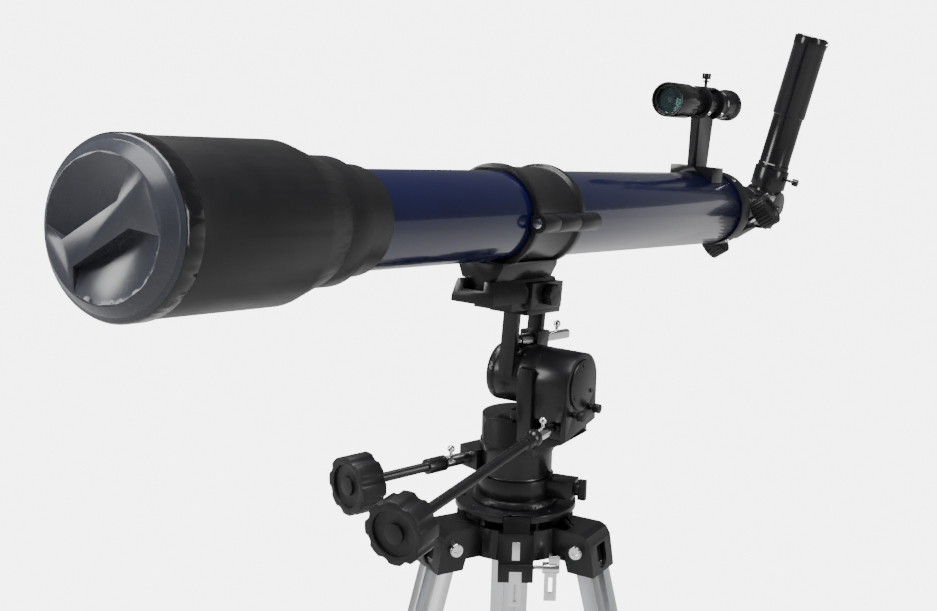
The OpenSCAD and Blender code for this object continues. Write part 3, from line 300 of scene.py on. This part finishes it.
paint = {
    "blue_enamel": blue_enamel(),
    "black_satin_paint": painted("black_satin_paint",
        (0.005, 0.005, 0.006), (0.009, 0.009, 0.010), 0.40, 0.35, 0.010),
    "cast_black": painted("cast_black",
        (0.005, 0.005, 0.006), (0.010, 0.010, 0.011), 0.32, 0.9, 0.030, 0.12, 0.4),
    "black_rod": painted("black_rod",
        (0.008, 0.008, 0.009), (0.014, 0.014, 0.015), 0.28, 1.4, 0.012, 0.2, 0.3),
    "baffle_black": painted("baffle_black", (0.004, 0.004, 0.004), (0.006, 0.006, 0.006), 0.8, 0.3, 0.020),
    "cap_plastic": plastic("cap_plastic",
        (0.030, 0.032, 0.042), (0.040, 0.043, 0.055), 0.26, 0.8, 0.003, 0.5),
    "black_plastic": plastic("black_plastic",
        (0.007, 0.007, 0.008), (0.013, 0.013, 0.014), 0.42, 0.45, 0.020),
    "eyepiece_black": plastic("eyepiece_black",
        (0.005, 0.005, 0.006), (0.008, 0.008, 0.009), 0.20, 0.9, 0.006, 0.4),
    "foot_rubber": plastic("foot_rubber", (0.014, 0.014, 0.014), (0.024, 0.024, 0.024), 0.75, 0.5, 0.050),
}
print("paints and plastics:", ", ".join(paint))

# %% [markdown]
# ## Metals and glass
# Drawn aluminium carries fine lines along its length, chrome only the faintest scratches, and a
# turned gear rings of tool marks. A coated lens is smoky with a green sheen. The floor is grey
# paper mixed with a glow that only the camera sees, so it looks white and lights little.
# %% Bare metals and optics
def drawn_metal(name, base, rough, stretch, depth_mm=0.01):
    r = Recipe(name)
    lines = r.noise(0.5, 4, stretch=stretch)
    patch = r.noise(30, 3)
    return r.set(Base_Color=r.blend(patch, tuple(0.86 * v for v in base), base), Metallic=1.0,
                 Roughness=(rough + 0.22 * (lines - 0.5) + 0.1 * (patch - 0.5)).clamp(0.03, 1.0),
                 Normal=r.bump(lines, depth_mm))


def glass(name, tint, rough):
    r = Recipe(name)
    dust = (r.noise(0.4, 2) > 0.70) * 0.3
    shade = tuple(0.9 * v for v in tint)
    return r.set(Base_Color=r.blend(r.noise(12, 2), tint, shade), Roughness=rough + 0.4 * dust,
                 Transmission_Weight=0.9, IOR=1.52, Coat_Weight=0.5, Coat_Tint=(0.55, 0.85, 0.70, 1))


paint.update({
    "bright_aluminium": drawn_metal("bright_aluminium", (0.80, 0.81, 0.83), 0.34, (1, 1, 0.02)),
    "chrome": drawn_metal("chrome", (0.86, 0.86, 0.87), 0.10, (1, 1, 0.1), 0.003),
    "turned_metal": drawn_metal("turned_metal", (0.55, 0.54, 0.52), 0.32, (0.1, 1, 1)),
    "optical_glass": glass("optical_glass", (0.22, 0.30, 0.36), 0.03),
    "brass": drawn_metal("brass", (0.62, 0.44, 0.17), 0.30, (0.1, 1, 1)),
    "mirror": drawn_metal("mirror", (0.90, 0.90, 0.91), 0.04, (1, 1, 1), 0.001),
})
FLOOR_GLOW = 7.0
paper = Recipe("floor_paper")
paper_tone = paper.blend(paper.noise(400, 2), (0.40, 0.40, 0.40), (0.44, 0.44, 0.44))
paper.set(Base_Color=paper_tone, Roughness=0.6 + 0.1 * paper.noise(30, 2))
glow = paper.tree.nodes.new("ShaderNodeEmission")
glow.inputs["Strength"].default_value = FLOOR_GLOW
share = 0.8 * paper.node("LightPath", output="Is Camera Ray")
mix = paper.tree.nodes.new("ShaderNodeMixShader")
for number, source in enumerate((share.socket, paper.shader.outputs[0], glow.outputs[0])):
    paper.tree.links.new(source, mix.inputs[number])
paper.tree.links.new(mix.outputs[0], paper.tree.nodes["Material Output"].inputs["Surface"])
floor.data.materials.append(paper.material)
print("metals and glass:", len(paint), "finishes")

# %% [markdown]
# ## Rounding what the design left sharp
# A design model has knife edges and flat facets; nothing real does. Each design piece is copied,
# its loose triangles are merged into faces, its edges get a small rounded bevel, and smooth
# shading follows the angle between faces. The copy then stands in for the design piece, in the
# same place. Machined parts get a fine edge, castings and mouldings a softer one.
# %% A finished copy of a design piece
SMOOTH_ANGLE = math.radians(32)


def only(obj):
    bpy.ops.object.select_all(action="DESELECT")
    obj.select_set(True)
    bpy.context.view_layer.objects.active = obj


def link(name, mesh):
    obj = bpy.data.objects.new(name, mesh)
    bpy.context.scene.collection.objects.link(obj)
    return obj


def body_of(node):
    for body, members in frame["record"]["behaviour"]["bodies"].items():
        if node in members:
            return body
    raise KeyError(node)


EDGE_SEGMENTS = 2


def finished(node, edge_mm):
    """Copies a design piece, merges its triangles, rounds its edges and replaces it."""
    piece = link(node + ".finished", nodes[node].data.copy())
    only(piece)
    bpy.ops.object.mode_set(mode="EDIT")
    bpy.ops.mesh.select_all(action="SELECT")
    bpy.ops.mesh.remove_doubles(threshold=0.002 * MM)
    bpy.ops.mesh.dissolve_limited(angle_limit=math.radians(0.6), delimit={"NORMAL"})
    bpy.ops.object.mode_set(mode="OBJECT")
    if edge_mm:
        bevel = piece.modifiers.new("edge", "BEVEL")
        bevel.width = edge_mm * MM
        bevel.segments = EDGE_SEGMENTS
        bevel.limit_method = "ANGLE"
        bevel.angle_limit = SMOOTH_ANGLE
        bevel.use_clamp_overlap = True
        bpy.ops.object.modifier_apply(modifier=bevel.name)
    bpy.ops.object.shade_smooth_by_angle(angle=SMOOTH_ANGLE)
    slot = next(s["material_slot"] for s in frame["record"]["subparts"] if s["node"] == node)
    piece.data.materials.clear()
    piece.data.materials.append(paint[slot])
    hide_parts(node)
    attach(piece, body_of(node))
    return piece


# %% Which edge each piece gets
EDGES_MM = {
    "dust_cap": 0.2, "dew_shield": 0.4, "objective_cell": 0.4, "main_tube": 0.15, "focuser_body": 0.4,
    "drawtube": 0.15, "focus_pinion": 0.3, "diagonal": 0.5, "erector": 0.3,
    "finder_bracket": 0.5, "finder_tube": 0.3,
    "cradle_lower": 0.6, "cradle_upper": 0.6, "cradle_pins": 0.2, "saddle": 0.7, "saddle_knob": 0.4,
    "fork": 0.8, "fork_cap": 0.5, "fork_worm": 0.15,
    "pier": 1.0, "altitude_case": 1.0, "case_cover": 0.4, "cover_screws": 0.3,
    "azimuth_worm": 0.15, "altitude_worm": 0.15, "short_rod": 0.3, "long_rod": 0.3,
    "short_knob": 0.9, "long_knob": 0.9, "altitude_shaft": 0.1, "azimuth_wheel": 0.1,
    "tripod_hub": 0.8, "hub_plate": 0.5, "base_ring": 0.4, "front_bracket": 0.6, "clamp_strips": 0.2,
    "hub_bolts": 0.4, "brake_block": 0.6, "brake_knob": 0.5, "tray": 0.5,
}
for side in ("left", "right", "back"):
    EDGES_MM.update({f"leg_head_{side}": 0.7, f"leg_rails_{side}": 0.5, f"leg_slide_{side}": 0.4,
                     f"leg_lock_{side}": 0.5, f"brace_{side}": 0.4})
OPTICS = ("objective_lens", "erector_lenses", "finder_lenses", "diagonal_mirror", "tube_baffles")
pieces = {node: finished(node, edge) for node, edge in EDGES_MM.items()}
pieces.update({node: finished(node, 0) for node in OPTICS})
print("finished pieces:", len(pieces), "faces:", sum(len(p.data.polygons) for p in pieces.values()))

# %% [markdown]
# ## Pieces with more than one finish
# Some pieces join two materials: a rubber foot on an aluminium bar, a brass wheel on a steel
# shaft, a chrome axle between plastic knobs. A face is told apart by where its middle is: how
# far it stands off a given axis, and how far along that axis it lies.
# %% Second finishes, face by face
def off_axis(spot, start, way):
    """Distance of a point from a line, in millimetres."""
    reach = spot - start
    return (reach - way * reach.dot(way)).length / MM


def along_axis(spot, start, way):
    return (spot - start).dot(way) / MM


def second_finish(node, slot, belongs):
    """Gives the faces for which belongs(middle) is true another material."""
    mesh = pieces[node].data
    mesh.materials.append(paint[slot])
    last = len(mesh.materials) - 1
    chosen = [face for face in mesh.polygons if belongs(face.center)]
    for face in chosen:
        face.material_index = last
    print(f"{node}: {len(chosen)} faces in {slot}")


tube_middle = on_tube(0, 0, 0)
pinion_way = Vector(joints["focus_knob_spin"]["axis"]).normalized()
eye_way = Vector(joints["eyepiece_pull"]["axis"]).normalized()
diagonal_centre = Vector(joints["diagonal_turn"]["pos_m"])
for side in ("left", "right", "back"):
    second_finish("leg_slide_" + side, "foot_rubber", lambda c: c.z < 19 * MM)
second_finish("focus_pinion", "chrome", lambda c: abs(along_axis(c, tube_middle, pinion_way)) < 25.2)
second_finish("dust_cap", "eyepiece_black", lambda c: off_axis(c, tube_middle, rearward) > 57.4)
second_finish("drawtube", "eyepiece_black",
              lambda c: along_axis(c, tube_middle, rearward) > 489
              and 20.2 < off_axis(c, tube_middle, rearward) < 26)
second_finish("focuser_body", "chrome", lambda c: off_axis(c, tube_middle, rearward) > 39.6
              and along_axis(c, tube_middle, rearward) < 440)
second_finish("diagonal", "chrome", lambda c: 14.1 < off_axis(c, tube_middle, rearward) < 16.2
              and along_axis(c, tube_middle, rearward) < 532)
second_finish("erector", "chrome", lambda c: off_axis(c, diagonal_centre, eye_way) > 19.3)
second_finish("cradle_upper", "chrome",
              lambda c: off_axis(c, on_tube(-47 * MM, -32 * MM, 0), upward) < 3.1)
second_finish("altitude_shaft", "brass", lambda c: c.x > 14 * MM and off_axis(c, pivot, across) > 9)

# %% [markdown]
# ## Cross-head screws
# A screw head is a short cylinder with a rounded rim and a cross sunk in its face. Its face is
# inset once, four cuts mark the arms of the cross on the inset face, and the faces inside the
# cross are pushed down. One head is modelled at the origin and placed wherever it is needed.
# %% A cross-head screw
def pick(obj, wanted):
    """Selects, in face mode, the faces for which wanted(centre, normal) is true."""
    bpy.ops.mesh.select_mode(type="FACE")
    bpy.ops.mesh.select_all(action="DESELECT")
    mesh = bmesh.from_edit_mesh(obj.data)
    for face in mesh.faces:
        face.select_set(bool(wanted(face.calc_center_median(), face.normal)))
    bmesh.update_edit_mesh(obj.data)


def settle(obj, place, axis, name, slot, body):
    """Points the piece's own Z along an axis, puts it in place and bakes that into its mesh."""
    turn = Vector(axis).to_track_quat("Z", "Y").to_matrix().to_4x4()
    obj.data.transform(Matrix.Translation(Vector(place)) @ turn)
    obj.name = name
    obj.data.materials.clear()
    obj.data.materials.append(paint[slot])
    only(obj)
    bpy.ops.object.shade_smooth_by_angle(angle=SMOOTH_ANGLE)
    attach(obj, body)
    return obj


def lathe_start(radius, height, sides=40):
    """A cylinder standing on the origin, in edit mode."""
    bpy.ops.object.select_all(action="DESELECT")
    bpy.ops.mesh.primitive_cylinder_add(vertices=sides, radius=radius * MM, depth=height * MM,
                                        location=(0, 0, height / 2 * MM))
    obj = bpy.context.object
    bpy.ops.object.transform_apply(location=True)
    bpy.ops.object.mode_set(mode="EDIT")
    return obj


def cross_screw(name, place, axis, radius, height, slot, body):
    obj = lathe_start(radius, height)
    top = height * MM
    arm = radius * 0.16 * MM
    pick(obj, lambda c, n: n.z > 0.9 and c.z > top * 0.9)
    bpy.ops.mesh.inset(thickness=radius * 0.42 * MM)
    for direction in ((1, 0, 0), (0, 1, 0)):
        for offset in (-arm, arm):
            pick(obj, lambda c, n: n.z > 0.9 and c.xy.length < radius * 0.5 * MM and c.z > top * 0.9)
            bpy.ops.mesh.bisect(plane_co=tuple(offset * v for v in direction), plane_no=direction)
    pick(obj, lambda c, n: n.z > 0.9 and c.z > top * 0.9 and c.xy.length < radius * 0.5 * MM
         and (abs(c.x) < arm or abs(c.y) < arm))
    bpy.ops.mesh.extrude_region_move(TRANSFORM_OT_translate={"value": (0, 0, -height * 0.45 * MM)})
    bpy.ops.object.mode_set(mode="OBJECT")
    rim = obj.modifiers.new("rim", "BEVEL")
    rim.width = min(radius, height) * 0.22 * MM
    rim.segments = 3
    rim.limit_method = "ANGLE"
    rim.angle_limit = math.radians(60)
    only(obj)
    bpy.ops.object.modifier_apply(modifier=rim.name)
    return settle(obj, place, axis, name, slot, body)


# %% [markdown]
# The hinge bolts of the legs end in bright cross-head caps, one on each cheek of a lug. The
# hinge axis of every leg is known from its joint, so each cap sits at the end of that axis.
# %% Bolt caps on the leg hinges
BOLT_END_MM = 24.5
for side in ("left", "right", "back"):
    joint = joints["leg_fold_" + side]
    hinge, tangent = Vector(joint["pos_m"]), Vector(joint["axis"]).normalized()
    for way in (-1, 1):
        cross_screw(f"hinge_cap.{side}.{'a' if way > 0 else 'b'}", hinge + tangent * way * BOLT_END_MM * MM,
                    tangent * way, 5.6, 1.6, "chrome", "base")
print("hinge caps placed")

# %% [markdown]
# ## Small screws on black parts
# The castings are held together by small dark screws. They are the same head at other sizes,
# placed from the boxes of the pieces they sit on.
# %% Cover screws and plate screws
COVER_SCREWS_MM, PLATE_SCREWS_MM = 17.5, 47
case_low, case_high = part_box("case_cover")
cover_middle = (case_low + case_high) / 2
cover_middle.x = case_high.x - 0.15 * MM
for number in range(3):
    angle = math.radians(90 + 120 * number)
    out = Vector((0, math.cos(angle), math.sin(angle)))
    cross_screw(f"cover_screw.{number}", cover_middle + out * COVER_SCREWS_MM * MM, across, 1.9, 0.9,
                "black_rod", "head")
cap_low, cap_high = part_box("fork_cap")
cap_middle = (cap_low + cap_high) / 2
cross_screw("fork_cap_screw", Vector((cap_low.x - 0.05 * MM, cap_middle.y, cap_middle.z)), -across, 4.6, 1.2,
            "black_rod", "fork")
plate_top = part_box("hub_plate")[1].z
for number, angle in enumerate((-62, -22, 24, 68, 142, 206)):
    turn = math.radians(angle - 90)
    spot = Vector((math.cos(turn), math.sin(turn), 0)) * PLATE_SCREWS_MM * MM
    spot.z = plate_top - 0.1 * MM
    cross_screw(f"plate_screw.{number}", spot, (0, 0, 1), 2.2, 1.0, "black_rod", "base")
print("small screws placed")

# %% [markdown]
# ## The bright rim of the eyepiece
# The eye end of the erecting eyepiece wears a thin bright ring. A short cylinder is inset on both
# faces, the two inner faces are bridged into a bore, and the rim is rounded.
# %% Rings with a bore
def ring(name, place, axis, outer, inner, height, slot, body, edge=0.4):
    obj = lathe_start(outer, height, 72)
    for facing in (1, -1):
        pick(obj, lambda c, n, facing=facing: n.z * facing > 0.9)
        bpy.ops.mesh.inset(thickness=(outer - inner) * MM)
    pick(obj, lambda c, n: abs(n.z) > 0.9 and c.xy.length < inner * 0.5 * MM)
    bpy.ops.mesh.bridge_edge_loops()
    bpy.ops.object.mode_set(mode="OBJECT")
    rim = obj.modifiers.new("rim", "BEVEL")
    rim.width = edge * MM
    rim.segments = 3
    rim.limit_method = "ANGLE"
    rim.angle_limit = math.radians(60)
    only(obj)
    bpy.ops.object.modifier_apply(modifier=rim.name)
    return settle(obj, place, axis, name, slot, body)


EYE_END_MM = 45.6 + 155
ring("eye_rim", diagonal_centre + eye_way * (EYE_END_MM - 1.0) * MM, eye_way, 17.0, 12.6, 1.4,
     "chrome", "erector")
print("eyepiece rim placed")

# %% [markdown]
# The finder's bell holds its lens with a thin black retaining ring, and its two clamp rings
# carry small bright set screws. Their places follow from the finder's own axis, which runs
# above the tube and parallel to it.
# %% Finder ring and set screws
FINDER_UP_MM, FINDER_BACK_MM, CLAMP_R_MM = 111, 350, 16.9
bell_front = min((v.co - tube_middle).dot(rearward) for v in pieces["finder_tube"].data.vertices)
ring("finder_retainer", on_tube(0, bell_front + 4 * MM, FINDER_UP_MM * MM), -rearward, 15.2, 13.4, 1.6,
     "black_rod", "ota", 0.25)
for number, (back, turn) in enumerate(((-17, -35), (17, -35), (-17, -145), (17, -145))):
    out = across * math.cos(math.radians(turn)) + upward * math.sin(math.radians(turn))
    spot = on_tube(0, (FINDER_BACK_MM + back) * MM, FINDER_UP_MM * MM) + out * CLAMP_R_MM * MM
    cross_screw(f"finder_screw.{number}", spot, out, 2.3, 1.8, "chrome", "ota")
print("finder details placed")

bpy.context.view_layer.update()
